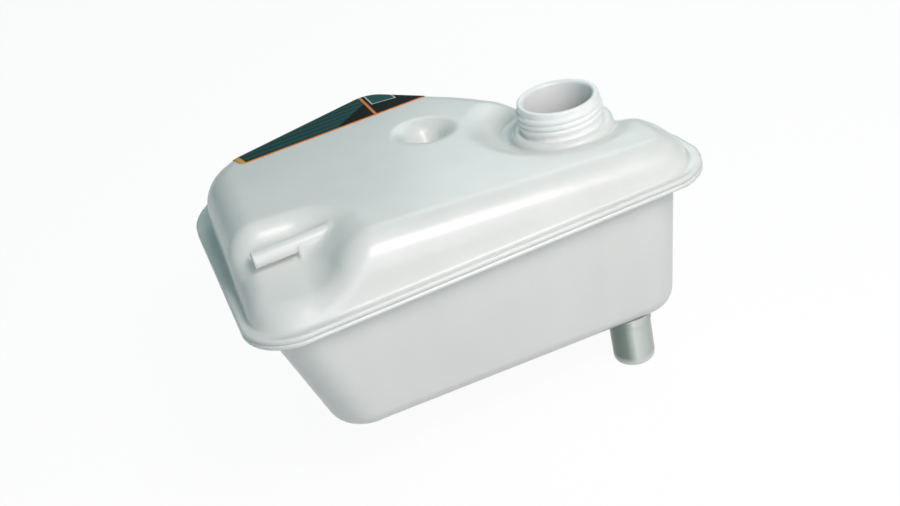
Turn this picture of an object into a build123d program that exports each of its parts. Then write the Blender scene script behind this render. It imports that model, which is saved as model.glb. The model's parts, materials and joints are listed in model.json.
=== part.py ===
"""Coolant expansion tank: two polypropylene mouldings welded at a flange, and a film label.

The origin is on the filler neck's axis, at the seat that the neck stands on. +Z is up the neck, +X runs
along the straight front of the tank towards its low end, and +Y goes from the front to the back.
All sizes are in millimetres and all angles in degrees.
"""

import os
from math import cos, radians, sin, tan

from build123d import *

# Moulded wall of both shells
wall = 3.0

# Weld flange: distance of each of its six sides from the neck axis
flange_front = 82.0
flange_right = 58.0
flange_low_diagonal = 34.0
flange_high_diagonal = 51.0
flange_back = 176.5
flange_left = 223.5

# Weld flange: the way each side faces, turned from +X towards +Y
front_facing = -90.0
right_facing = 0.0
low_diagonal_facing = 34.0
high_diagonal_facing = 43.7
back_facing = 108.0
left_facing = 180.0

# Weld flange: rounding of its corners, and the two plates that meet at the weld
front_right_radius = 32.0
right_diagonal_radius = 46.0
diagonal_bend_radius = 150.0
apex_radius = 36.0
back_left_radius = 52.0
left_front_radius = 32.0
flange_half = 3.0
flange_lip = 1.0
seat_over_flange = 18.5

# Dome of the upper shell: how far its foot stands in from each side of the flange
dome_front_inset = 6.0
dome_right_inset = 7.0
dome_low_diagonal_inset = 5.1
dome_high_diagonal_inset = 7.7
dome_back_inset = 10.0
dome_left_inset = 7.0
dome_corner_inset = 4.0
dome_back_turn = 5.9
dome_left_turn = -1.9
dome_draft = 6.0
shoulder_radius = 20.0
roof_slope = 4.65
roof_at_neck = 1.4

# Filler neck, its seat and the hollow round the seat
neck_height = 17.5
neck_radius = 24.6
neck_bore_radius = 20.8
neck_rim_bevel = 1.0
seat_radius = 31.0
seat_bevel = 2.0
hollow_y = 3.0
hollow_radius = 35.0
hollow_depth = 3.5
hollow_flare = 25.0
hollow_lean_left = 2.3
hollow_lean_back = 3.4

# Scoop in the high front corner, where the bleed hose goes on
scoop_end = -166.0
scoop_back = -22.0
scoop_floor = -5.0
scoop_corner_radius = 22.0
scoop_floor_radius = 10.0
scoop_rim_round = 7.0

# Bleed nipple in the scoop, its thicker root where the hose stops, and the web under that root
nipple_y = -31.0
nipple_z = 5.5
nipple_radius = 4.75
nipple_bore_radius = 2.75
nipple_tip_x = -203.5
nipple_tip_bevel = 1.0
nipple_root_radius = 5.2
web_length = 14.0
web_thickness = 7.0

# Dimple in the roof
dimple_x = -72.0
dimple_y = 43.0
dimple_radius = 13.5
dimple_nose_radius = 6.0
dimple_nose_bevel = 3.0
dimple_depth = 14.0
dimple_rim_bevel = 3.0

# Tub of the lower shell: inset from each side of the flange, and the draft of each side
tub_front_inset = 7.0
tub_right_inset = 19.0
tub_low_diagonal_inset = 12.0
tub_high_diagonal_inset = 14.0
tub_back_inset = 18.0
tub_left_inset = 11.5
tub_corner_inset = 8.0
tub_front_draft = 5.0
tub_right_draft = 4.0
tub_low_diagonal_draft = 4.0
tub_high_diagonal_draft = 5.0
tub_back_draft = 8.0
tub_left_draft = 15.0
tub_depth = 90.0
floor_slope = 3.0
floor_round = 14.0
tub_flare = 4.0

# Outlet spigot under the low end, and its thicker root where the hose stops
outlet_x = 0.0
outlet_y = -51.3
outlet_radius = 13.0
outlet_bore_radius = 10.0
outlet_length = 32.0
outlet_tip_bevel = 1.0
outlet_root_radius = 13.6
outlet_root_length = 3.0

# Film label on the roof, along the back
label_front_facing = -78.8
label_end_facing = -168.8
label_front = -103.4
label_end = 167.1
label_edge = 11.5
label_corner_radius = 4.0
label_thickness = 0.4

# How far the plain forms run on past their cuts, how near to a form an edge counts as on it, and how steep
# an edge has to be to count as upright
form_overrun = 24.0
rim_tolerance = 0.005
upright_slope = 45.0

flange_top = -seat_over_flange
weld_plane = flange_top - flange_half
flange_bottom = weld_plane - flange_half
floor_at_neck = flange_bottom - tub_depth
outlet_tip = floor_at_neck - outlet_length

facings = [front_facing, right_facing, low_diagonal_facing, high_diagonal_facing, back_facing, left_facing]
flange_sides = [
    flange_front,
    flange_right,
    flange_low_diagonal,
    flange_high_diagonal,
    flange_back,
    flange_left,
]
flange_radii = [
    front_right_radius,
    right_diagonal_radius,
    diagonal_bend_radius,
    apex_radius,
    back_left_radius,
    left_front_radius,
]

dome_facings = facings[:4] + [back_facing + dome_back_turn, left_facing + dome_left_turn]
dome_insets = [
    dome_front_inset,
    dome_right_inset,
    dome_low_diagonal_inset,
    dome_high_diagonal_inset,
    dome_back_inset,
    dome_left_inset,
]
dome_sides = [side - inset for side, inset in zip(flange_sides, dome_insets)]
dome_radii = [radius - dome_corner_inset for radius in flange_radii]

tub_insets = [
    tub_front_inset,
    tub_right_inset,
    tub_low_diagonal_inset,
    tub_high_diagonal_inset,
    tub_back_inset,
    tub_left_inset,
]
tub_sides = [side - inset for side, inset in zip(flange_sides, tub_insets)]
tub_radii = [radius - tub_corner_inset for radius in flange_radii]
tub_drafts = [
    tub_front_draft,
    tub_right_draft,
    tub_low_diagonal_draft,
    tub_high_diagonal_draft,
    tub_back_draft,
    tub_left_draft,
]

label_facings = [label_front_facing, high_diagonal_facing, dome_facings[4], label_end_facing]
label_sides = [label_front, dome_sides[3] - label_edge, dome_sides[4] - label_edge, label_end]

roof = Plane(origin=(0, 0, roof_at_neck), z_dir=(tan(radians(roof_slope)), 0, 1))
tub_floor = Plane(origin=(0, 0, floor_at_neck), z_dir=(tan(radians(floor_slope)), 0, 1))
hollow_floor = Plane(
    origin=(0, hollow_y, -hollow_depth),
    z_dir=(-tan(radians(hollow_lean_left)), tan(radians(hollow_lean_back)), 1),
)
nipple_start = Plane(origin=(nipple_tip_x, nipple_y, nipple_z), z_dir=(1, 0, 0))


def corners(sides, ways):
    """Corner points of an outline of straight sides, each at its own distance from the neck axis."""
    points = []
    for index in range(len(sides)):
        following = (index + 1) % len(sides)
        a = radians(ways[index])
        b = radians(ways[following])
        p = sides[index]
        q = sides[following]
        turn = sin(b - a)
        points.append(((p * sin(b) - q * sin(a)) / turn, (q * cos(a) - p * cos(b)) / turn))
    return points


def dome(skin):
    """Drafted dome under its sloping roof, with rolled shoulders, taken in by a skin on every side."""
    slant = radians(dome_draft)
    spread = form_overrun * tan(slant) - skin / cos(slant)
    with BuildPart() as form:
        with BuildSketch(Plane.XY.offset(flange_top - form_overrun)):
            with BuildLine():
                FilletPolyline(
                    *corners([side + spread for side in dome_sides], dome_facings),
                    radius=[radius - skin for radius in dome_radii],
                    close=True,
                )
            make_face()
        extrude(amount=seat_over_flange + 3 * form_overrun, taper=dome_draft)
        split(bisect_by=roof.offset(-skin), keep=Keep.BOTTOM)
        shoulder = form.faces().filter_by(roof).edges()
        if skin > 0:
            chamfer(shoulder, length=shoulder_radius - 2 * skin)
        else:
            fillet(shoulder, radius=shoulder_radius - skin)
    return form.part


def scoop(skin):
    """Block that cuts the high front corner away, its back corner and its floor edges rounded."""
    far_x = -flange_left - form_overrun
    far_y = -flange_front - form_overrun
    with BuildPart() as cutter:
        with Locations((far_x, far_y, scoop_floor - skin)):
            Box(
                scoop_end + skin - far_x,
                scoop_back + skin - far_y,
                seat_over_flange + form_overrun,
                align=Align.MIN,
            )
        if not skin:
            back_edges = cutter.edges().filter_by(Axis.Z).sort_by(Axis.Y)[-2:]
            fillet(back_edges.sort_by(Axis.X)[-1], radius=scoop_corner_radius)
            floor_edges = cutter.faces().sort_by(Axis.Z)[0].edges()
            outer_edges = floor_edges.sort_by(Axis.X)[:1] + floor_edges.sort_by(Axis.Y)[:1]
            fillet([edge for edge in floor_edges if edge not in outer_edges], radius=scoop_floor_radius)
    return cutter.part


def hollow(skin):
    """Flared pocket round the neck's seat, deeper towards the back and the high end."""
    with BuildPart() as cutter:
        with Locations(hollow_floor.offset(-skin)):
            Cone(
                bottom_radius=hollow_radius + skin,
                top_radius=hollow_radius + skin + form_overrun * tan(radians(hollow_flare)),
                height=form_overrun,
                align=(Align.CENTER, Align.CENTER, Align.MIN),
            )
    return cutter.part


def dimple(skin):
    """Blunt cone pressed into the roof."""
    roof_here = roof_at_neck - dimple_x * tan(radians(roof_slope))
    with BuildPart() as cutter:
        with Locations((dimple_x, dimple_y, roof_here - dimple_depth - skin)):
            Cone(
                bottom_radius=dimple_nose_radius + skin,
                top_radius=2 * dimple_radius - dimple_nose_radius + skin,
                height=2 * dimple_depth,
                align=(Align.CENTER, Align.CENTER, Align.MIN),
            )
        if not skin:
            chamfer(cutter.edges().sort_by(Axis.Z)[0], length=dimple_nose_bevel)
    return cutter.part


def upper_form(skin):
    """Solid form of the upper shell without flange and neck, taken in by a skin on every side."""
    plain = dome(skin)
    plain_shell = plain.shells()[0]
    with BuildPart() as form:
        add(plain)
        add(scoop(skin), mode=Mode.SUBTRACT)
        cut_edges = form.edges(Select.LAST)
        rim = [edge for edge in cut_edges if plain_shell.distance_to(edge @ 0.5) < rim_tolerance]
        if skin:
            chamfer(rim, length=scoop_rim_round - skin)
        else:
            fillet(rim, radius=scoop_rim_round)
        add(hollow(skin), mode=Mode.SUBTRACT)
        add(dimple(skin), mode=Mode.SUBTRACT)
        if not skin:
            dimple_rim = form.edges(Select.LAST).filter_by_position(Axis.Z, 0, seat_over_flange)
            chamfer(dimple_rim, length=dimple_rim_bevel)
        with Locations((0, 0, -skin)):
            Cone(
                bottom_radius=seat_radius - skin,
                top_radius=seat_radius - skin - seat_bevel,
                height=seat_bevel,
                align=(Align.CENTER, Align.CENTER, Align.MAX),
            )
        with Locations((0, 0, -skin - seat_bevel)):
            Cylinder(
                seat_radius - skin,
                seat_over_flange + form_overrun,
                align=(Align.CENTER, Align.CENTER, Align.MAX),
            )
    return form.part


def tub(skin):
    """Tub with its own draft on each side, over its sloping floor, taken in by a skin on every side."""
    length = 2 * flange_left
    steepness = sin(radians(upright_slope))
    with BuildPart() as form:
        with Locations((0, 0, weld_plane)):
            Box(length, length, length, align=(Align.CENTER, Align.CENTER, Align.MAX))
        for side, way, draft in zip(tub_sides, facings, tub_drafts):
            a = radians(way)
            slant = radians(draft)
            outward = (cos(a) * cos(slant), sin(a) * cos(slant), -sin(slant))
            face = Plane(origin=(side * cos(a), side * sin(a), flange_bottom), z_dir=outward)
            split(bisect_by=face.offset(-skin), keep=Keep.BOTTOM)
        split(bisect_by=tub_floor.offset(skin), keep=Keep.TOP)
        for (x, y), radius in zip(corners(tub_sides, facings), tub_radii):
            upright = form.edges().filter_by(lambda edge: abs(edge.tangent_at(0.5).Z) > steepness)
            fillet(upright.sort_by_distance((x, y, flange_bottom))[0], radius=radius - skin)
        bottom = form.faces().filter_by(tub_floor).edges()
        if skin:
            chamfer(bottom, length=floor_round - 2 * skin)
        else:
            fillet(bottom, radius=floor_round)
    return form.part


os.makedirs("parts", exist_ok=True)

# Upper shell: dome with its scoop, hollow and dimple, the seat, the neck, the nipple and the upper flange
with BuildPart() as upper_shell:
    add(upper_form(0))
    split(bisect_by=Plane.XY.offset(weld_plane), keep=Keep.TOP)
    with BuildSketch(Plane.XY.offset(weld_plane)):
        with BuildLine():
            FilletPolyline(
                *corners([side - flange_lip for side in flange_sides], facings),
                radius=[radius - flange_lip for radius in flange_radii],
                close=True,
            )
        make_face()
    extrude(amount=flange_half)
    Cylinder(neck_radius, neck_height, align=(Align.CENTER, Align.CENTER, Align.MIN))
    add(upper_form(wall), mode=Mode.SUBTRACT)
    Cylinder(neck_bore_radius, 2 * seat_over_flange, mode=Mode.SUBTRACT)
    chamfer(upper_shell.edges().filter_by_position(Axis.Z, neck_height, neck_height), length=neck_rim_bevel)
    with Locations(nipple_start):
        Cylinder(
            nipple_radius,
            scoop_end + wall - nipple_tip_x,
            align=(Align.CENTER, Align.CENTER, Align.MIN),
        )
    chamfer(upper_shell.edges(Select.LAST).sort_by(Axis.X)[0], length=nipple_tip_bevel)
    with Locations(nipple_start.offset(scoop_end - web_length - nipple_tip_x)):
        Cylinder(nipple_root_radius, web_length + wall, align=(Align.CENTER, Align.CENTER, Align.MIN))
    with Locations((scoop_end, nipple_y, nipple_z)):
        Box(
            web_length,
            web_thickness,
            nipple_z - scoop_floor + wall / 2,
            align=(Align.MAX, Align.CENTER, Align.MAX),
        )
    with Locations(nipple_start):
        Cylinder(
            nipple_bore_radius,
            scoop_end + 2 * wall - nipple_tip_x,
            align=(Align.CENTER, Align.CENTER, Align.MIN),
            mode=Mode.SUBTRACT,
        )
upper_shell.part.label = "upper_shell"
export_step(upper_shell.part, "parts/upper_shell.step")

# Lower shell: tub, lower flange and outlet spigot
with BuildPart() as lower_shell:
    add(tub(0))
    with BuildSketch(Plane.XY.offset(flange_bottom)):
        with BuildLine():
            FilletPolyline(*corners(flange_sides, facings), radius=flange_radii, close=True)
        make_face()
    extrude(amount=flange_half)
    ledge = lower_shell.faces().filter_by(Plane.XY).sort_by(Axis.Z)[0]
    chamfer(ledge.inner_wires()[0].edges(), length=tub_flare)
    with Locations((outlet_x, outlet_y, outlet_tip)):
        Cylinder(outlet_radius, outlet_length + wall, align=(Align.CENTER, Align.CENTER, Align.MIN))
    chamfer(lower_shell.edges(Select.LAST).sort_by(Axis.Z)[0], length=outlet_tip_bevel)
    with Locations((outlet_x, outlet_y, floor_at_neck - outlet_root_length)):
        Cylinder(
            outlet_root_radius,
            outlet_root_length + wall,
            align=(Align.CENTER, Align.CENTER, Align.MIN),
        )
    add(tub(wall), mode=Mode.SUBTRACT)
    with Locations((outlet_x, outlet_y, outlet_tip)):
        Cylinder(
            outlet_bore_radius,
            outlet_length + form_overrun,
            align=(Align.CENTER, Align.CENTER, Align.MIN),
            mode=Mode.SUBTRACT,
        )
lower_shell.part.label = "lower_shell"
export_step(lower_shell.part, "parts/lower_shell.step")

# Label: film that follows the roof and the rolled back shoulder
with BuildPart() as label:
    add(dome(-label_thickness))
    add(dome(0), mode=Mode.SUBTRACT)
    with BuildSketch(Plane.XY.offset(flange_top)):
        with BuildLine():
            FilletPolyline(*corners(label_sides, label_facings), radius=label_corner_radius, close=True)
        make_face()
    extrude(amount=2 * form_overrun + seat_over_flange, mode=Mode.INTERSECT)
label.part.label = "label"
export_step(label.part, "parts/label.step")
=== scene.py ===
import json

import bpy
import numpy as np
from mathutils import Matrix, Vector


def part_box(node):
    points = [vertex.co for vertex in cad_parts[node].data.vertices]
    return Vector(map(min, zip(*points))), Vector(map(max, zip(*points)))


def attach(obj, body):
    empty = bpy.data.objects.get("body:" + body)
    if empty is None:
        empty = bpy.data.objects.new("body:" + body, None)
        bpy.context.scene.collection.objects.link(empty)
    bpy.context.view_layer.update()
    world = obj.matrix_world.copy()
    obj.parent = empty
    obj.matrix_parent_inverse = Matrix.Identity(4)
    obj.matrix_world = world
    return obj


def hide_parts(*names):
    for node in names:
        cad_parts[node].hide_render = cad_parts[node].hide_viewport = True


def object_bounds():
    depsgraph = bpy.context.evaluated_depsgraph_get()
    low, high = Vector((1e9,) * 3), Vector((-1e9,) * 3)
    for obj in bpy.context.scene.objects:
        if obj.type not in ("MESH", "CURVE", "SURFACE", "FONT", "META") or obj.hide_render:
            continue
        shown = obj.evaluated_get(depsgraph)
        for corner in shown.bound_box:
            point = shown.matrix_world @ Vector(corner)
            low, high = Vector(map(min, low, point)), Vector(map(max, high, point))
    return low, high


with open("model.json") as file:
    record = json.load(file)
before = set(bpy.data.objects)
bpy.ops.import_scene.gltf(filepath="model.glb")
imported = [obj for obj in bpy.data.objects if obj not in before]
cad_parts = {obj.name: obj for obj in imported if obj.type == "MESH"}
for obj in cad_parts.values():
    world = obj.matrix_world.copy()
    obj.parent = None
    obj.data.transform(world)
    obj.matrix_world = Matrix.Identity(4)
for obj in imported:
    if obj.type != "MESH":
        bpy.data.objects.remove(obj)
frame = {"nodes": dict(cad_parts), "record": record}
cad_low, cad_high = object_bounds()

# Lower shell
# The tub of the tank, injection-moulded in natural polypropylene. Each of its six sides has a draft of its
# own, the floor falls towards the low end, and the rim turns out into the lower half of the flange, which is
# hot-plate welded to the upper half.
mm = 0.001
wall = 3.0 * mm
lower_low, lower_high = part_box("lower_shell")
upper_low, upper_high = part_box("upper_shell")
weld_plane = upper_low.z
flange_half = 3.0 * mm
flange_bottom = weld_plane - flange_half
flange_top = weld_plane + flange_half

# The sides go round from the front to the right, the low diagonal, the high diagonal, the back and the left.
side_turns = np.radians([-90.0, 0.0, 34.0, 43.7, 108.0, 180.0])
flange_reach = np.array([-lower_low.y, lower_high.x, 34.0 * mm, 51.0 * mm, 176.5 * mm, -lower_low.x])
flange_radii = np.array([32.0, 46.0, 150.0, 36.0, 52.0, 32.0]) * mm
flange_edge_round = 0.5 * mm
# The lower edge stays this far inside the CAD box, because evening out the mesh moves it a little.
flange_shy = 0.02 * mm

tub_reach = flange_reach - np.array([7.0, 19.0, 12.0, 14.0, 18.0, 11.5]) * mm
tub_radii = flange_radii - 8.0 * mm
tub_drafts = np.radians([5.0, 4.0, 4.0, 5.0, 8.0, 15.0])
tub_depth = 90.0 * mm
floor_fall = np.radians(3.0)
floor_round = 14.0 * mm
cove_share, cove_least, cove_most = 0.65, 3.0 * mm, 12.0 * mm
weld_edge_round, inner_edge_round = 0.25 * mm, 0.8 * mm

mounts = {mount["name"]: mount for mount in frame["record"]["mounts"]}
outlet_place = np.array(mounts["outlet_spigot"]["pos_m"])
outlet_radius = mounts["outlet_spigot"]["dims"]["r_mm"] * mm
outlet_bore = 10.0 * mm
outlet_hole = (outlet_radius + outlet_bore) / 2


def wedge_shares(u, v, cosine):
    """Shares of two walls' normals in the way out of the edge between them: (u - cv) / (1 - c²) of the first
    and (v - cu) / (1 - c²) of the second. u and v are distances past the edge's axis, c the cosine."""
    span = 1 - cosine * cosine
    return (u - cosine * v) / span, (v - cosine * u) / span


def rounded(a, b, radius, cosine=0.0):
    """Convex edge between two surfaces, rounded. With u and v the two distances plus the radius, a point with
    a share of both normals lies sqrt(share of u times u + share of v times v) - radius away, and any other
    point as far as the larger of the two distances."""
    u, v = a + radius, b + radius
    share_u, share_v = wedge_shares(u, v, cosine)
    arc = np.sqrt(np.maximum(share_u * u + share_v * v, 0)) - radius
    return np.where((share_u > 0) & (share_v > 0), arc, np.maximum(a, b))


def joined(a, b, radius):
    """Two solids joined with a cove of this radius: the rounded edge of what lies outside both."""
    return -rounded(-a, -b, radius)


def ring_of_walls(distances, normals, radii):
    """Distance to a convex ring of walls and the way the nearest one faces. It is the largest of the walls'
    distances, and near a corner the distance from the corner's axis less its radius, as in rounded."""
    least_reach = 1e-8
    level = np.max(distances, axis=0)
    facing = normals[np.argmax(distances, axis=0)]
    for first, radius in enumerate(radii):
        second = (first + 1) % len(radii)
        u, v = distances[first] + radius, distances[second] + radius
        share_u, share_v = wedge_shares(u, v, normals[first] @ normals[second])
        corner = (share_u > 0) & (share_v > 0)
        reach = np.sqrt(np.maximum(share_u * u + share_v * v, least_reach**2))
        level = np.where(corner, reach - radius, level)
        outward = share_u[..., None] * normals[first] + share_v[..., None] * normals[second]
        facing = np.where(corner[..., None], outward / reach[..., None], facing)
    return level, facing


def upright_walls(turns):
    """Level outward normals of the sides that face these ways."""
    return np.stack([np.cos(turns), np.sin(turns), np.zeros_like(turns)], axis=-1)


def flange_plate(points, setback):
    """How far a point lies outside the flange's outline, drawn in by a setback."""
    normals = upright_walls(side_turns)
    reach = flange_reach - setback
    distances = np.stack([points @ normal - side for normal, side in zip(normals, reach)])
    return ring_of_walls(distances, normals, flange_radii - setback)[0]


def tub(points):
    """Six leaning walls rounded into one another and into the falling floor."""
    lean = np.cos(tub_drafts)[:, None]
    normals = upright_walls(side_turns) * lean
    normals[:, 2] = -np.sin(tub_drafts)
    feet = upright_walls(side_turns) * tub_reach[:, None]
    feet[:, 2] = flange_bottom
    distances = np.stack([(points - foot) @ normal for foot, normal in zip(feet, normals)])
    side, facing = ring_of_walls(distances, normals, tub_radii)
    down = -np.array([np.sin(floor_fall), 0.0, np.cos(floor_fall)])
    floor = (points - (0.0, 0.0, flange_bottom - tub_depth)) @ down
    return rounded(side, floor, floor_round, facing @ down)


def lower_shell(points):
    """Tub joined to its flange, hollowed to an even wall and opened for the outlet. The cove under the flange
    takes about two thirds of the overhang, within its limits, so it is narrow along the front."""
    z = points[..., 2]
    form = tub(points)
    edge = flange_plate(points, flange_shy)
    plate = rounded(edge, flange_bottom - z, flange_edge_round)
    cove = np.clip(cove_share * (form - edge), cove_least, cove_most)
    solid = joined(form, plate, cove)
    solid = rounded(solid, z - weld_plane, weld_edge_round)
    solid = rounded(solid, -(form + wall), inner_edge_round)
    hole = np.hypot(points[..., 0] - outlet_place[0], points[..., 1] - outlet_place[1]) - outlet_hole
    below = z - (flange_bottom - tub_depth / 2)
    return np.maximum(solid, -np.maximum(hole, below))


def steps(*stretches):
    """Lattice marks along one axis, from stretches of (start, end, step) set end to end."""
    return np.concatenate([np.arange(start, end - step / 2, step) for start, end, step in stretches])


def slope(field, points):
    """Field at the points and its slope there, by differences over a short reach along each axis."""
    reach = 0.02 * mm
    here = field(points)
    shifts = np.eye(3) * reach
    return here, np.stack([(field(points + shift) - here) / reach for shift in shifts], axis=-1)


def settle(field, points, low, high, rounds):
    """Points slid down the field's slope to its zero level, each kept within its own bounds. A nearly flat
    slope counts as a steeper one, so that no point leaps."""
    least_steep = 0.05
    for _ in range(rounds):
        here, climb = slope(field, points)
        steep = np.maximum(np.sum(climb * climb, axis=-1), least_steep)
        points = np.clip(points - (here / steep)[:, None] * climb, low, high)
    return points


def skin(field, xs, ys, zs):
    """Skin of the solid where a field is below zero, on a lattice. Each cell that the zero level crosses gets
    one vertex, and each lattice edge that it crosses a quad between the four cells round it. The vertices
    slide onto the zero level, and in between are evened out by moving half way to their neighbours' mean."""
    evenings, leeway = 3, 0.3
    marks = (xs, ys, zs)
    inside = field(np.stack(np.meshgrid(xs, ys, zs, indexing="ij"), axis=-1)) < 0
    corners_inside = inside.astype(np.int8)
    for axis in range(3):
        corners_inside = np.delete(corners_inside, -1, axis) + np.delete(corners_inside, 0, axis)
    crossed = (corners_inside > 0) & (corners_inside < 8)
    number = np.full(crossed.shape, -1)
    number[crossed] = np.arange(np.count_nonzero(crossed))
    cells = np.argwhere(crossed)
    low = np.stack([marks[axis][cells[:, axis]] for axis in range(3)], axis=-1)
    high = np.stack([marks[axis][cells[:, axis] + 1] for axis in range(3)], axis=-1)
    quads = []
    for axis in range(3):
        ends = np.argwhere(np.diff(inside.astype(np.int8), axis=axis) != 0)
        right, up = np.eye(3, dtype=int)[(axis + 1) % 3], np.eye(3, dtype=int)[(axis + 2) % 3]
        ring = [number[tuple((ends - shift).T)] for shift in (right + up, up, 0 * up, right)]
        quad = np.stack(ring, axis=-1)
        leaving = inside[tuple(ends.T)]
        quads.append(np.where(leaving[:, None], quad, quad[:, ::-1]))
    quads = np.concatenate(quads)
    centres, room = (low + high) / 2, leeway * (high - low)
    low, high = low - room, high + room
    points = settle(field, centres, low, high, rounds=5)
    followers = np.roll(quads, -1, axis=1)
    shares = np.bincount(quads.ravel(), minlength=len(points))[:, None]
    for _ in range(evenings):
        sums = [np.bincount(quads.ravel(), points[followers.ravel(), axis], len(points)) for axis in range(3)]
        points = (points + np.stack(sums, axis=-1) / shares) / 2
        points = settle(field, points, low, high, rounds=2)
    return points, quads


def piece(name, points, quads, material):
    """Smooth mesh object of these vertices and quads, at the origin, in one material."""
    mesh = bpy.data.meshes.new(name)
    mesh.vertices.add(len(points))
    mesh.vertices.foreach_set("co", np.ascontiguousarray(points, np.float32).ravel())
    mesh.loops.add(quads.size)
    mesh.loops.foreach_set("vertex_index", np.ascontiguousarray(quads, np.int32).ravel())
    mesh.polygons.add(len(quads))
    mesh.polygons.foreach_set("loop_start", np.arange(0, quads.size, 4, dtype=np.int32))
    mesh.polygons.foreach_set("use_smooth", np.ones(len(quads), bool))
    mesh.update(calc_edges=True)
    mesh.validate()
    mesh.materials.append(material)
    made = bpy.data.objects.new(name, mesh)
    bpy.context.scene.collection.objects.link(made)
    return made


def feed(tree, node, inputs):
    """Each of these inputs of a node linked to another node's output, or set to a number or colour."""
    for name, value in inputs.items():
        if isinstance(value, bpy.types.NodeSocket):
            tree.links.new(value, node.inputs[name])
        else:
            node.inputs[name].default_value = value


def shader_node(tree, kind, inputs):
    """New node of this kind with its inputs fed."""
    node = tree.nodes.new(kind)
    feed(tree, node, inputs)
    return node


def worked(tree, operation, *parts):
    """Level worked out by one operation from other nodes' outputs or numbers."""
    node = tree.nodes.new("ShaderNodeMath")
    node.operation = operation
    feed(tree, node, dict(enumerate(parts)))
    return node.outputs["Value"]


shell_tint, shell_depth = (0.86, 0.87, 0.845), 0.4


def natural_polypropylene(name, tint, depth):
    """Milky moulded plastic. Its tint is duller in soft clouds and in flow lines drawn out down the walls,
    and its satin gloss changes with the clouds. A very fine grain lies on a shallow ripple, and light goes a
    little way in."""
    cloud_share, flow_share, dullness = 0.65, 0.35, 0.93
    material = bpy.data.materials.new(name)
    material.use_nodes = True
    tree = material.node_tree
    place = tree.nodes.new("ShaderNodeTexCoord").outputs["Object"]

    cloud_inputs = {"Vector": place, "Scale": 14.0, "Detail": 3.0}
    cloud = shader_node(tree, "ShaderNodeTexNoise", cloud_inputs).outputs["Fac"]
    drawn_out = shader_node(tree, "ShaderNodeMapping", {"Vector": place, "Scale": (1.0, 1.0, 0.06)})
    flow_inputs = {"Vector": drawn_out.outputs["Vector"], "Scale": 55.0, "Detail": 2.0}
    flow = shader_node(tree, "ShaderNodeTexNoise", flow_inputs).outputs["Fac"]
    clouding = worked(tree, "MULTIPLY", cloud, cloud_share)
    milkiness = worked(tree, "MULTIPLY_ADD", flow, flow_share, clouding)
    colour = shader_node(tree, "ShaderNodeValToRGB", {"Fac": milkiness})
    dull, full = colour.color_ramp.elements
    dull.position, full.position = 0.3, 0.72
    dull.color, full.color = (*[dullness * part for part in tint], 1.0), (*tint, 1.0)

    gloss = shader_node(tree, "ShaderNodeMapRange", {"Value": cloud, "To Min": 0.24, "To Max": 0.36})

    ripple = shader_node(tree, "ShaderNodeTexNoise", {"Vector": place, "Scale": 60.0, "Detail": 0.0})
    ripple.normalize = False
    ripple_inputs = {"Height": ripple.outputs["Fac"], "Strength": 0.2, "Distance": 0.5 * mm}
    rippled = shader_node(tree, "ShaderNodeBump", ripple_inputs).outputs["Normal"]
    grain = shader_node(tree, "ShaderNodeTexNoise", {"Vector": place, "Scale": 900.0}).outputs["Fac"]
    grain_inputs = {"Height": grain, "Strength": 0.05, "Distance": 0.2 * mm, "Normal": rippled}
    grained = shader_node(tree, "ShaderNodeBump", grain_inputs).outputs["Normal"]

    finish = {
        "Base Color": colour.outputs["Color"],
        "Roughness": gloss.outputs["Result"],
        "Normal": grained,
        "IOR": 1.49,
        "Specular IOR Level": 0.7,
        "Subsurface Weight": depth,
        "Subsurface Radius": (1.0, 1.0, 1.0),
        "Subsurface Scale": 3.0 * mm,
    }
    feed(tree, tree.nodes["Principled BSDF"], finish)
    return material


plastic = natural_polypropylene("natural_polypropylene", shell_tint, shell_depth)
lattice, tub_lattice = 1.4 * mm, 1.7 * mm
wall_step, cove_step, rim_step = 2.0 * mm, 1.0 * mm, 0.5 * mm
margin, rim_margin = 3 * tub_lattice, 1.6 * mm
floor_start = flange_bottom - tub_depth - 8.0 * mm
wall_start = flange_bottom - 66.0 * mm
cove_start = flange_bottom - 6.0 * mm
rim_start = flange_bottom - 1.0 * mm
lower_marks = (
    steps((lower_low.x - margin, lower_high.x + margin, tub_lattice)),
    steps((lower_low.y - margin, lower_high.y + margin, tub_lattice)),
    steps(
        (floor_start, wall_start, lattice),
        (wall_start, cove_start, wall_step),
        (cove_start, rim_start, cove_step),
        (rim_start, weld_plane + rim_margin, rim_step),
    ),
)
tub_piece = piece("tank_tub", *skin(lower_shell, *lower_marks), plastic)
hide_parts("lower_shell")
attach(tub_piece, "root")

# Outlet spigot
# A plain hose spigot moulded with the floor of the tub and open through its bore. The hose is pushed on up to
# a slightly thicker root. Its colour is a coolant-stain green with painted shade down both sides, a painted
# highlight band between them and a pale painted highlight at the tip.
outlet_tip = lower_low.z
outlet_length = flange_bottom - tub_depth - outlet_tip
outlet_sink = 2.6 * mm
outlet_tip_round = 2.2 * mm
outlet_mouth_width, outlet_mouth_depth = 0.4 * mm, 0.6 * mm
outlet_root_radius, outlet_root_length, outlet_root_round = 13.6 * mm, 3.0 * mm, 0.5 * mm
outlet_root_start = outlet_length - outlet_root_length
outlet_lead, outlet_lead_rise = 0.4 * mm, 0.1 * mm

# The pale tip tint is a painted highlight at the spigot's tip.
outlet_tint, outlet_tip_highlight = (0.86, 0.88, 0.85), (0.95, 0.9, 0.88)
outlet_fade_start, outlet_fade_end = 2.5 * mm, 6.0 * mm
# Painted shade at both sides of the spigot and a painted highlight band between them, on a coolant-stain
# green.
stain_shade_marks = (0.0, 0.16, 0.34, 0.62, 1.0)
stain_shade_tints = (
    (0.2, 0.3, 0.25),
    (0.29, 0.36, 0.32),
    (0.97, 0.98, 0.96),
    (0.7, 0.74, 0.71),
    (0.36, 0.41, 0.38),
)


def bend(centre, radius, start, end, count=6):
    """Points of an arc, from one angle to another in degrees, as (along, radius) pairs."""
    angle = np.radians(np.linspace(start, end, count))
    return list(zip(centre[0] + radius * np.cos(angle), centre[1] + radius * np.sin(angle)))


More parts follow.
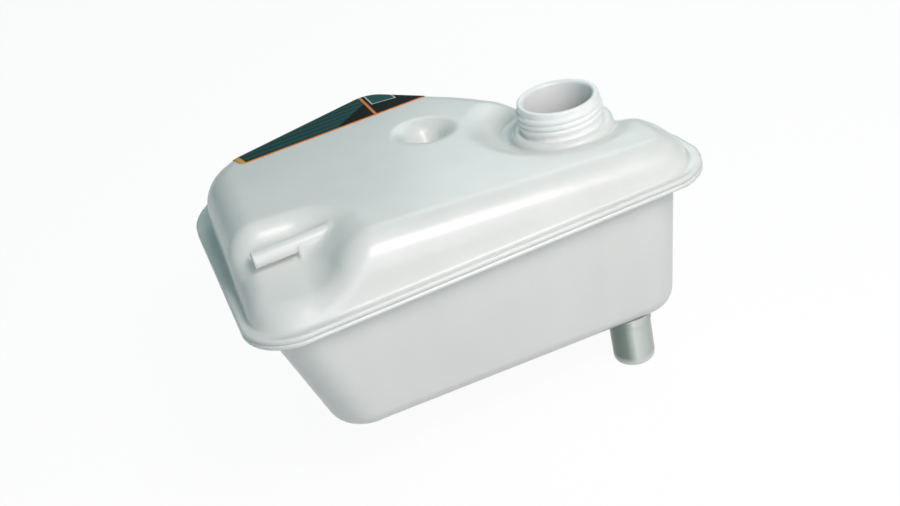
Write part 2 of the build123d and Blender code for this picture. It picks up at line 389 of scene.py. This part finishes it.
def held(profile):
    """Closed profile with two more points on each long run, close to its ends, so that smooth shading turns
    only at the corners and the run between them shades as straight."""
    hold = 0.2 * mm
    run = np.roll(profile, -1, axis=0) - profile
    length = np.linalg.norm(run, axis=1, keepdims=True)
    step = run / length * hold
    points = np.stack([profile, profile + step, profile + run - step], axis=1)
    wanted = np.repeat(length > 6 * hold, 3, axis=1)
    wanted[:, 0] = True
    return points[wanted]


def wrapped_quads(stations, around):
    """Quads of a grid that closes on itself both ways."""
    number = np.arange(stations * around).reshape(stations, around)
    on = np.roll(number, -1, axis=0)
    corners = [number, on, np.roll(on, -1, axis=1), np.roll(number, -1, axis=1)]
    return np.stack(corners, axis=-1).reshape(-1, 4)


def turned(name, profile, centre, along, across, material, stations):
    """Ring of a closed profile turned about an axis. Each point of the profile is a distance along the axis
    and a radius, and the direction across the axis is swept through a full turn."""
    along, across = np.array(along, float), np.array(across, float)
    beside = np.cross(along, across)
    angle = np.linspace(0, 2 * np.pi, stations, endpoint=False)[:, None]
    reach, radius = held(np.asarray(profile)).T
    ring = np.cos(angle)[..., None] * across + np.sin(angle)[..., None] * beside
    points = np.asarray(centre) + reach[None, :, None] * along + radius[None, :, None] * ring
    return piece(name, points.reshape(-1, 3), wrapped_quads(stations, len(reach)), material)


def layered(tree, share, under, over, blend="MIX"):
    """Colour laid over another by a share of it, mixed or multiplied with what is under it."""
    node = tree.nodes.new("ShaderNodeMix")
    node.data_type = "RGBA"
    node.blend_type = blend
    feed(tree, node, {"Factor": share, "A": under, "B": over})
    return node.outputs["Result"]


def stained_polypropylene():
    """The shells' plastic with a coolant-stain green and painted light. A ramp across the spigot along X
    holds painted shade at both sides and a painted highlight band between them. It fades to a pale painted
    highlight towards the tip, and multiplies the plastic's own colour."""
    material = natural_polypropylene("stained_polypropylene", outlet_tint, shell_depth)
    tree = material.node_tree
    shader = tree.nodes["Principled BSDF"]
    place = tree.nodes.new("ShaderNodeTexCoord").outputs["Object"]
    split = shader_node(tree, "ShaderNodeSeparateXYZ", {"Vector": place})
    left, right = outlet_place[0] - outlet_radius, outlet_place[0] + outlet_radius
    across_inputs = {"Value": split.outputs["X"], "From Min": left, "From Max": right}
    across = shader_node(tree, "ShaderNodeMapRange", across_inputs)
    # Ramp across the spigot: painted shade at both sides and a painted highlight band.
    stain_and_shade = shader_node(tree, "ShaderNodeValToRGB", {"Fac": across.outputs["Result"]})
    ramp = stain_and_shade.color_ramp.elements
    for _ in stain_shade_marks[len(ramp) :]:
        ramp.new(0.5)
    for element, mark, tint in zip(ramp, stain_shade_marks, stain_shade_tints):
        element.position = mark
        element.color = (*tint, 1.0)
    # Fade to the pale painted highlight at the tip.
    fade_inputs = {
        "Value": split.outputs["Z"],
        "From Min": outlet_tip + outlet_fade_start,
        "From Max": outlet_tip + outlet_fade_end,
    }
    fade = shader_node(tree, "ShaderNodeMapRange", fade_inputs)
    faded = layered(tree, fade.outputs["Result"], (*outlet_tip_highlight, 1.0), stain_and_shade.outputs["Color"])
    plain = shader.inputs["Base Color"].links[0].from_socket
    feed(tree, shader, {"Base Color": layered(tree, 1.0, plain, faded, "MULTIPLY")})
    return material


tip_bend = (outlet_tip_round, outlet_radius - outlet_tip_round)
root_bend = (outlet_root_start + outlet_root_round, outlet_root_radius - outlet_root_round)
spigot_profile = [
    (0.0, outlet_bore + outlet_mouth_width),
    *bend(tip_bend, outlet_tip_round, 180, 90),
    (outlet_root_start - outlet_lead, outlet_radius),
    (outlet_root_start, outlet_radius + outlet_lead_rise),
    *bend(root_bend, outlet_root_round, 180, 90, 4),
    (outlet_length + outlet_sink, outlet_root_radius),
    (outlet_length + outlet_sink, outlet_bore),
    (outlet_mouth_depth, outlet_bore),
]
spigot_centre = (outlet_place[0], outlet_place[1], outlet_tip)
spigot_stations = 96
spigot = turned(
    "outlet_spigot",
    spigot_profile,
    spigot_centre,
    (0, 0, 1),
    (1, 0, 0),
    stained_polypropylene(),
    spigot_stations,
)
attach(spigot, "root")

# Upper shell
# The lid half of the tank, the same plastic: a drafted dome with rolled shoulders under a sloping roof. Its
# high front corner is scooped away for the bleed hose, with a web and a wedge under the nipple, and its roof
# has a hollow round the neck's seat and a dimple.
dome_turns = side_turns + np.radians([0.0, 0.0, 0.0, 0.0, 5.9, -1.9])
dome_reach = flange_reach - np.array([6.0, 7.0, 5.1, 7.7, 10.0, 7.0]) * mm
dome_radii = flange_radii - 4.0 * mm
dome_draft = np.radians(6.0)
shoulder = 20.0 * mm
roof_fall = np.radians(4.65)
roof_at_neck = 1.4 * mm
lip_setback = 0.4 * mm
dome_cove = 1.5 * mm

scoop_end, scoop_back, scoop_floor = -163.0 * mm, -22.0 * mm, -5.0 * mm
scoop_corner, scoop_cove, scoop_rim = 16.0 * mm, 9.0 * mm, 13.0 * mm
scoop_lean, scoop_fall, scoop_hinge = np.radians(36.0), np.radians(8.0), -48.0 * mm

hollow_centre = np.array([0.0, 3.0, -3.5]) * mm
hollow_lean = np.radians([2.3, 4.2])
hollow_run = np.array([-1.0, 8.0]) * mm
hollow_radius, hollow_flare = 32.0 * mm, np.radians(30.0)
hollow_rim, hollow_cove = 15.0 * mm, 4.0 * mm
seat_radius, seat_round, seat_cove = 31.0 * mm, 2.6 * mm, 3.0 * mm

dimple_place = np.array([-72.0, 43.0]) * mm
dimple_depth, dimple_mouth, dimple_nose = 14.0 * mm, 14.0 * mm, 6.0 * mm
dimple_rim, dimple_nose_round = 7.0 * mm, 5.0 * mm

nipple_place = np.array(mounts["bleed_nipple"]["pos_m"])
nipple_radius = mounts["bleed_nipple"]["dims"]["r_mm"] * mm
core_radius, core_round, core_cove = 4.6 * mm, 0.5 * mm, 2.0 * mm
core_end = scoop_end + 5.0 * mm
web_length, web_thickness, web_cove = 16.0 * mm, 8.4 * mm, 1.5 * mm
web_front = scoop_end - web_length
wedge_start, wedge_turn = np.array([-176.5, -35.2]) * mm, np.radians(47.0)
wedge_slope, wedge_drop = np.radians(9.0), 2.5 * mm
wedge_cove, wedge_round = 4.0 * mm, 6.0 * mm

neck_radius = mounts["filler_neck"]["dims"]["r_mm"] * mm
neck_bore = 20.8 * mm
neck_hole = (neck_radius + neck_bore) / 2


def roof_height(x):
    """Height of the plain roof, which falls along +X."""
    return roof_at_neck - x * np.tan(roof_fall)


def dome(points):
    """Drafted walls of the dome rounded into the sloping roof."""
    normals = upright_walls(dome_turns)
    distances = np.stack([points @ normal - side for normal, side in zip(normals, dome_reach)])
    level, facing = ring_of_walls(distances, normals, dome_radii)
    side = (level + (points[..., 2] - flange_top) * np.tan(dome_draft)) * np.cos(dome_draft)
    roof = (points[..., 2] - roof_height(points[..., 0])) * np.cos(roof_fall)
    cosine = np.cos(dome_draft) * np.sin(roof_fall) * facing[..., 0] + np.sin(dome_draft) * np.cos(roof_fall)
    return rounded(side, roof, shoulder, cosine)


def scoop(points):
    """Block that takes the high front corner away. Its end wall leans back and its floor falls towards the
    front, and it is rounded at its back corner and along its floor."""
    end_out = np.array([np.cos(scoop_lean), 0.0, -np.sin(scoop_lean)])
    floor_out = -np.array([0.0, -np.sin(scoop_fall), np.cos(scoop_fall)])
    end = (points - (scoop_end, 0.0, nipple_place[2])) @ end_out
    upright = rounded(end, points[..., 1] - scoop_back, scoop_corner)
    floor = (points - (0.0, scoop_hinge, scoop_floor)) @ floor_out
    return rounded(upright, floor, scoop_cove)


def flared(height, distance, foot, spread, cove):
    """Blunt cone that widens upwards from a foot radius, by its height over the foot and distance from its
    axis."""
    side = (distance - foot - height * np.tan(spread)) * np.cos(spread)
    return rounded(side, -height, cove, np.sin(spread))


def hollow(points):
    """Flared pocket with a leaning floor round the neck's seat. It runs out towards the back, so its distance
    is taken from a short straight run and not from one point."""
    up = np.array([-np.tan(hollow_lean[0]), np.tan(hollow_lean[1]), 1.0])
    offset = points - hollow_centre
    height = offset @ (up / np.linalg.norm(up))
    share = np.clip(offset[..., :2] @ hollow_run / (hollow_run @ hollow_run), 0, 1)
    beside = offset[..., :2] - share[..., None] * hollow_run
    distance = np.hypot(beside[..., 0], beside[..., 1])
    return flared(height, distance, hollow_radius, hollow_flare, hollow_cove)


def dimple(points):
    """Blunt cone pressed into the roof."""
    height = points[..., 2] - (roof_height(dimple_place[0]) - dimple_depth)
    distance = np.hypot(points[..., 0] - dimple_place[0], points[..., 1] - dimple_place[1])
    spread = np.arctan2(dimple_mouth - dimple_nose, dimple_depth)
    return flared(height, distance, dimple_nose, spread, dimple_nose_round)


def roof_form(points):
    """Dome less its scoop, hollow and dimple, joined to the neck's seat."""
    form = rounded(dome(points), -scoop(points), scoop_rim)
    form = rounded(form, -hollow(points), hollow_rim)
    form = rounded(form, -dimple(points), dimple_rim)
    distance = np.hypot(points[..., 0], points[..., 1])
    return joined(form, rounded(distance - seat_radius, points[..., 2], seat_round), seat_cove)


def web(points):
    """Upright plate under the nipple, from the scoop's floor to the nipple's axis."""
    x, y, z = points[..., 0], points[..., 1], points[..., 2]
    sides = np.maximum(np.abs(y - nipple_place[1]) - web_thickness / 2, web_front - x)
    ends = np.maximum(z - nipple_place[2], scoop_floor - wall / 2 - z)
    return np.maximum(np.maximum(sides, ends), x - scoop_end)


def wedge(points):
    """Wedge in front of the web. Its face turns from the web's front edge to the scoop's end wall, and its
    top climbs towards that wall."""
    x, y, z = points[..., 0], points[..., 1], points[..., 2]
    along, beside = x - wedge_start[0], y - wedge_start[1]
    face = -along * np.sin(wedge_turn) - beside * np.cos(wedge_turn)
    top = (z - nipple_place[2] + wedge_drop) * np.cos(wedge_slope) - along * np.sin(wedge_slope)
    ends = np.maximum(beside - web_thickness / 2, x - core_end)
    return np.maximum(rounded(face, top, wedge_round), ends)


def nipple_core(points):
    """Cylinder along X that fills the nipple's tube where it stands on the web and in the end wall."""
    x, y, z = points[..., 0], points[..., 1], points[..., 2]
    side = np.hypot(y - nipple_place[1], z - nipple_place[2]) - core_radius
    return rounded(np.maximum(side, x - core_end), web_front - x, core_round)


def upper_shell(points):
    """Roof joined to its flange and to the nipple's wedge, web and core, hollowed to an even wall and opened
    for the neck."""
    z = points[..., 2]
    form = roof_form(points)
    plate = rounded(flange_plate(points, lip_setback), z - flange_top, flange_edge_round)
    solid = joined(form, plate, dome_cove)
    solid = joined(solid, wedge(points), wedge_cove)
    solid = joined(solid, web(points), web_cove)
    solid = joined(solid, nipple_core(points), core_cove)
    solid = rounded(solid, weld_plane - z, weld_edge_round)
    solid = rounded(solid, -(form + wall), inner_edge_round)
    hole = np.hypot(points[..., 0], points[..., 1]) - neck_hole
    return np.maximum(solid, -np.maximum(hole, flange_top / 2 - z))


lip_margin = 1.5 * mm
upper_marks = (
    steps((upper_low.x - margin, upper_high.x + margin, lattice)),
    steps((upper_low.y - margin, upper_high.y + margin, lattice)),
    steps(
        (weld_plane - lip_margin, flange_top + lip_margin, rim_step),
        (flange_top + lip_margin, upper_high.z + margin, lattice),
    ),
)
roof_piece = piece("tank_roof", *skin(upper_shell, *upper_marks), plastic)
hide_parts("upper_shell")
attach(roof_piece, "root")

# Flange bead
# A fine raised line along the front of the weld flange, moulded with the upper shell, where the welding tool
# bears on it. It sinks into the flange at both front corners.
bead_setback, bead_half_width, bead_height = 2.7 * mm, 0.6 * mm, 0.24 * mm
bead_arc, bead_points = (-30, 210), 11
corner_points = 24


def flange_outline(setback):
    """Points round the flange's outline drawn in by a setback, and the way each faces. Every corner is an arc
    about the point that lies a radius inside both of its sides, and straight runs join the arcs."""
    normals = upright_walls(side_turns)[:, :2]
    radii, reach = flange_radii - setback, flange_reach - setback
    sides = np.stack([normals, np.roll(normals, -1, axis=0)], axis=1)
    depths = np.stack([reach - radii, np.roll(reach, -1) - radii], axis=1)
    centres = np.linalg.solve(sides, depths[..., None])[..., 0]
    sweep = (np.roll(side_turns, -1) - side_turns) % (2 * np.pi)
    angle = side_turns[:, None] + sweep[:, None] * np.linspace(0, 1, corner_points)
    facing = np.stack([np.cos(angle), np.sin(angle)], axis=-1)
    points = centres[:, None, :] + radii[:, None, None] * facing
    return points.reshape(-1, 2), facing.reshape(-1, 2)


def bead_surface():
    """Arc of an ellipse carried along the front and half way round its two corners: out by its half width
    times a cosine, up by its height times a sine. It sinks into the flange towards both ends."""
    path, facing = flange_outline(bead_setback)
    half = corner_points // 2
    rows = np.concatenate([np.arange(-half, 0), np.arange(half)])
    path, facing = path[rows], facing[rows]
    grown = np.concatenate([np.linspace(0, 1, half), np.linspace(1, 0, half)])[:, None]
    angle = np.radians(np.linspace(*bead_arc, bead_points))
    across, rise = bead_half_width * np.cos(angle), bead_height * (np.sin(angle) + grown - 1)
    level = path[:, None, :] + across[None, :, None] * facing[:, None, :]
    points = np.concatenate([level, (flange_top + rise)[..., None]], axis=-1)
    quads = wrapped_quads(len(path), len(angle)).reshape(len(path), len(angle), 4)[:-1]
    return points.reshape(-1, 3), quads.reshape(-1, 4)


bead_piece = piece("flange_bead", *bead_surface(), plastic)
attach(bead_piece, "root")

# Filler neck
# The open neck for the screw cap, moulded with the roof. Its thread runs up the lower part in a few turns,
# and the top is left plain as a lead for the cap.
neck_top = upper_high.z
neck_round, neck_foot, neck_sink = 0.9 * mm, 1.4 * mm, 0.4 * mm
mouth_round, bore_hold = 2 * neck_round, 0.3 * mm
neck_stations, neck_rows = 240, 72
thread_pitch, thread_height, thread_start = 3.6 * mm, 1.4 * mm, 0.8 * mm
thread_turns, thread_growth, thread_flank = 3, 6, 1.7
# The neck's tint is lighter than the roof's plastic: painted light that brightens the neck and its bore.
neck_lit_tint, neck_depth = (0.99, 0.99, 0.985), 0.3


def neck_wall(angle, height):
    """Radius of the outer wall: the plain neck and a ridge that climbs one pitch in each turn. The ridge is a
    rounded wedge across, and it grows from nothing and dies away over a sixth of a turn at its ends."""
    climb = (height - thread_start) / thread_pitch - angle / (2 * np.pi)
    turn = np.floor(climb)
    across = np.abs(climb - turn - 0.5) * 2
    along = turn + angle / (2 * np.pi)
    ends = np.clip(np.minimum(along, thread_turns - along) * thread_growth, 0, 1)
    ridge = np.clip((1 - across) * thread_flank, 0, 1)
    ridge = ridge * ridge * (3 - 2 * ridge)
    return neck_radius + thread_height * ridge * ends * (along >= 0)


def neck_surface():
    """Closed profile carried round the neck: coved foot, threaded wall, rounded rim, mouth and bore."""
    angle = np.linspace(0, 2 * np.pi, neck_stations, endpoint=False)[:, None]
    foot = bend((neck_foot, neck_radius + neck_foot), neck_foot, 180, 270)
    climb = np.linspace(neck_foot, neck_top - neck_round, neck_rows)[1:-1]
    rim = bend((neck_top - neck_round, neck_radius - neck_round), neck_round, 90, 0)
    mouth = bend((neck_top - mouth_round, neck_bore + mouth_round), mouth_round, 0, -90)
    bottom = -wall - neck_sink
    bore = [(bottom + bore_hold, neck_bore), (bottom, neck_bore)]
    under = [(bottom, neck_radius), (-neck_sink, neck_radius + neck_foot)]
    threaded_wall = np.column_stack([climb, np.full(len(climb), neck_radius)])
    heights, radii = np.concatenate([foot, threaded_wall, rim, mouth, bore, under]).T
    radius = np.tile(radii, (neck_stations, 1))
    threaded = slice(len(foot), len(foot) + len(climb))
    radius[:, threaded] = neck_wall(angle, heights[None, threaded])
    height = np.tile(heights, (neck_stations, 1))
    points = np.stack([radius * np.cos(angle), radius * np.sin(angle), height], axis=-1)
    return points.reshape(-1, 3), wrapped_quads(neck_stations, len(heights))


# A lighter copy of the roof's plastic, as painted light on the neck.
neck_lit_plastic = natural_polypropylene("clear_polypropylene", neck_lit_tint, neck_depth)
neck_piece = piece("filler_neck", *neck_surface(), neck_lit_plastic)
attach(neck_piece, "root")

# Bleed nipple
# A small hose nipple moulded with the roof: a plain tube that stands out of the scoop's end wall on its web.
# The bleed hose is pushed on over its rounded tip.
nipple_tip = nipple_place[0] - 1.0 * mm
nipple_bore = 2.75 * mm
nipple_length = core_end - nipple_tip
nipple_round, nipple_mouth = 0.8 * mm, 0.5 * mm
nipple_profile = [
    (0.0, nipple_bore + nipple_mouth),
    *bend((nipple_round, nipple_radius - nipple_round), nipple_round, 180, 90),
    (nipple_length, nipple_radius),
    (nipple_length, nipple_bore),
    (nipple_mouth, nipple_bore),
]
nipple_centre = (nipple_tip, nipple_place[1], nipple_place[2])
nipple_stations = 64
nipple_piece = turned(
    "bleed_nipple", nipple_profile, nipple_centre, (1, 0, 0), (0, 0, 1), plastic, nipple_stations
)
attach(nipple_piece, "root")

# Label
# A thin printed film stuck along the back of the roof and down over the shoulder. Its print is plain: a dark
# ground with pale rows, black fields, an outlined panel, an orange bar across and an orange edge.
label_turn = np.radians(-78.8)
label_front = -103.4 * mm
row_count, row_start, row_pitch, row_width = 6, 5.0 * mm, 5.5 * mm, 1.6 * mm
diagonal_place = -201.0 * mm
bar_place, bar_width = -90.5 * mm, 2.0 * mm
panel_start, panel_end, panel_edge, panel_line = -86.5 * mm, -69.0 * mm, 106.0 * mm, 1.0 * mm
front_edge_outer, front_edge_inner = 1.0 * mm, 0.9 * mm
high_edge_start, high_edge_end = -170.0 * mm, -163.5 * mm
film_ground, black = (0.012, 0.055, 0.055), (0.003, 0.004, 0.004)
orange, ochre = (0.75, 0.24, 0.05), (0.75, 0.38, 0.08)
pale_teal, panel_teal, pale_grey = (0.03, 0.095, 0.092), (0.02, 0.09, 0.09), (0.55, 0.6, 0.6)


def banded(tree, under, level, start, end, tint):
    """The tint where a level lies between two marks, over what is under it."""
    past_start = worked(tree, "GREATER_THAN", level, start)
    before_end = worked(tree, "LESS_THAN", level, end)
    return layered(tree, worked(tree, "MULTIPLY", past_start, before_end), under, (*tint, 1.0))


def printed_film():
    """Dark satin film with plain fields, each a band of one level: the distance in from the film's front
    edge, the place along that edge, x, x - y, or how far a point lies inside the panel."""
    material = bpy.data.materials.new("printed_film")
    material.use_nodes = True
    tree = material.node_tree
    place = tree.nodes.new("ShaderNodeTexCoord").outputs["Object"]
    turn = tree.nodes.new("ShaderNodeMapping")
    turn.vector_type = "TEXTURE"
    feed(tree, turn, {"Vector": place, "Rotation": (0.0, 0.0, label_turn + np.pi / 2)})
    edge = shader_node(tree, "ShaderNodeSeparateXYZ", {"Vector": turn.outputs["Vector"]}).outputs
    tank = shader_node(tree, "ShaderNodeSeparateXYZ", {"Vector": place}).outputs

    diagonal = worked(tree, "SUBTRACT", tank["X"], tank["Y"])
    from_right = worked(tree, "SUBTRACT", panel_end, tank["X"])
    from_left = worked(tree, "SUBTRACT", tank["X"], panel_start)
    from_front = worked(tree, "SUBTRACT", tank["Y"], panel_edge)
    panel = worked(tree, "MINIMUM", worked(tree, "MINIMUM", from_right, from_left), from_front)

    anywhere = 1.0
    row_starts = [-label_front + row_start + row_pitch * row for row in range(row_count)]
    bands = [
        *[(edge["Y"], start, start + row_width, pale_teal) for start in row_starts],
        (diagonal, diagonal_place, 0.0, black),
        (tank["X"], bar_place, 0.0, black),
        (panel, 0.0, anywhere, pale_grey),
        (panel, panel_line, anywhere, panel_teal),
        (tank["X"], bar_place, bar_place + bar_width, orange),
        (edge["Y"], -label_front - front_edge_outer, -label_front + front_edge_inner, orange),
        (edge["X"], high_edge_start, high_edge_end, ochre),
    ]
    colour = (*film_ground, 1.0)
    for level, start, end, tint in bands:
        colour = banded(tree, colour, level, start, end, tint)
    finish = {"Base Color": colour, "Roughness": 0.5, "Specular IOR Level": 0.08}
    feed(tree, tree.nodes["Principled BSDF"], finish)
    return material


film = frame["nodes"]["label"]
film.data.materials.clear()
film.data.materials.append(printed_film())

# Floor, light and camera
# A plain white floor under the tank, a warm light high over the front, a wide weak one low in front, and a
# cool one from behind, like a window. The camera stands where the photograph was taken.
floor_size = 24.0
floor_height = cad_low.z - 0.2 * mm
floor_grey, floor_glow, floor_glow_share = (0.5, 0.5, 0.5), 1.1, 0.85
white = (1.0, 1.0, 1.0, 1.0)


def white_floor():
    """Matte floor that shows mostly white to the camera and in reflections, and keeps the rest of its own
    shading, so that the tank's shadow stays on it."""
    material = bpy.data.materials.new("white_floor")
    material.use_nodes = True
    tree = material.node_tree
    tree.nodes.clear()
    ray = tree.nodes.new("ShaderNodeLightPath").outputs
    seen = worked(tree, "MAXIMUM", ray["Is Camera Ray"], ray["Is Transmission Ray"])
    shown = worked(tree, "MAXIMUM", seen, ray["Is Glossy Ray"])
    share = worked(tree, "MULTIPLY", shown, floor_glow_share)
    matte = shader_node(tree, "ShaderNodeBsdfDiffuse", {"Color": (*floor_grey, 1.0)})
    glow = shader_node(tree, "ShaderNodeEmission", {"Color": white, "Strength": floor_glow})
    mix_inputs = {"Fac": share, 1: matte.outputs[0], 2: glow.outputs[0]}
    mix = shader_node(tree, "ShaderNodeMixShader", mix_inputs)
    shader_node(tree, "ShaderNodeOutputMaterial", {"Surface": mix.outputs[0]})
    return material


floor_corners = np.array([(-1, -1), (1, -1), (1, 1), (-1, 1)]) * floor_size / 2
floor_points = np.column_stack([floor_corners, np.full(4, floor_height)])
floor_piece = piece("floor", floor_points, np.array([[0, 1, 2, 3]]), white_floor())

middle = (cad_low + cad_high) / 2


def soft_light(name, place, size, power, colour):
    """Square area light that stands off from the middle of the tank and looks at it."""
    lamp = bpy.data.lights.new(name, "AREA")
    lamp.size = size
    lamp.energy = power
    lamp.color = colour
    holder = bpy.data.objects.new(name, lamp)
    holder.location = middle + Vector(place)
    holder.rotation_euler = (-Vector(place)).to_track_quat("-Z", "Y").to_euler()
    bpy.context.scene.collection.objects.link(holder)


soft_light("key", place=(0.22, -0.63, 0.73), size=0.4, power=4.9, colour=(1.0, 0.9, 0.885))
soft_light("front", place=(-0.1, -1.0, 0.3), size=0.8, power=3.0, colour=(1.0, 0.96, 1.0))
soft_light("window", place=(0.42, 0.6, 0.62), size=0.5, power=1.6, colour=(0.92, 1.0, 1.0))
surround_colour = (0.145, 0.235, 0.24)


def studio_world():
    """Dim, slightly cool surround that shows white to the camera."""
    world = bpy.data.worlds.new("studio")
    world.use_nodes = True
    tree = world.node_tree
    surround = tree.nodes["Background"]
    feed(tree, surround, {"Color": (*surround_colour, 1.0)})
    backdrop = shader_node(tree, "ShaderNodeBackground", {"Color": white})
    seen = tree.nodes.new("ShaderNodeLightPath").outputs["Is Camera Ray"]
    mix_inputs = {"Fac": seen, 1: surround.outputs[0], 2: backdrop.outputs[0]}
    mix = shader_node(tree, "ShaderNodeMixShader", mix_inputs)
    feed(tree, tree.nodes["World Output"], {"Surface": mix.outputs[0]})
    return world


bpy.context.scene.world = studio_world()

camera_place = Vector((-232.14, -532.63, 276.76)) * mm
camera_turn, camera_tilt, camera_roll = np.radians([15.152, 31.115, 14.245])
picture_width, focal_pixels = 900, 1048.5
camera = bpy.data.objects.new("camera", bpy.data.cameras.new("camera"))
camera.data.lens = focal_pixels / picture_width * camera.data.sensor_width
camera.location = camera_place
aim = Matrix.Rotation(-camera_turn, 3, "Z") @ Matrix.Rotation(np.pi / 2 - camera_tilt, 3, "X")
camera.rotation_euler = (aim @ Matrix.Rotation(-camera_roll, 3, "Z")).to_euler()
bpy.context.scene.collection.objects.link(camera)
bpy.context.scene.camera = camera
bpy.context.scene.view_settings.view_transform = "Standard"
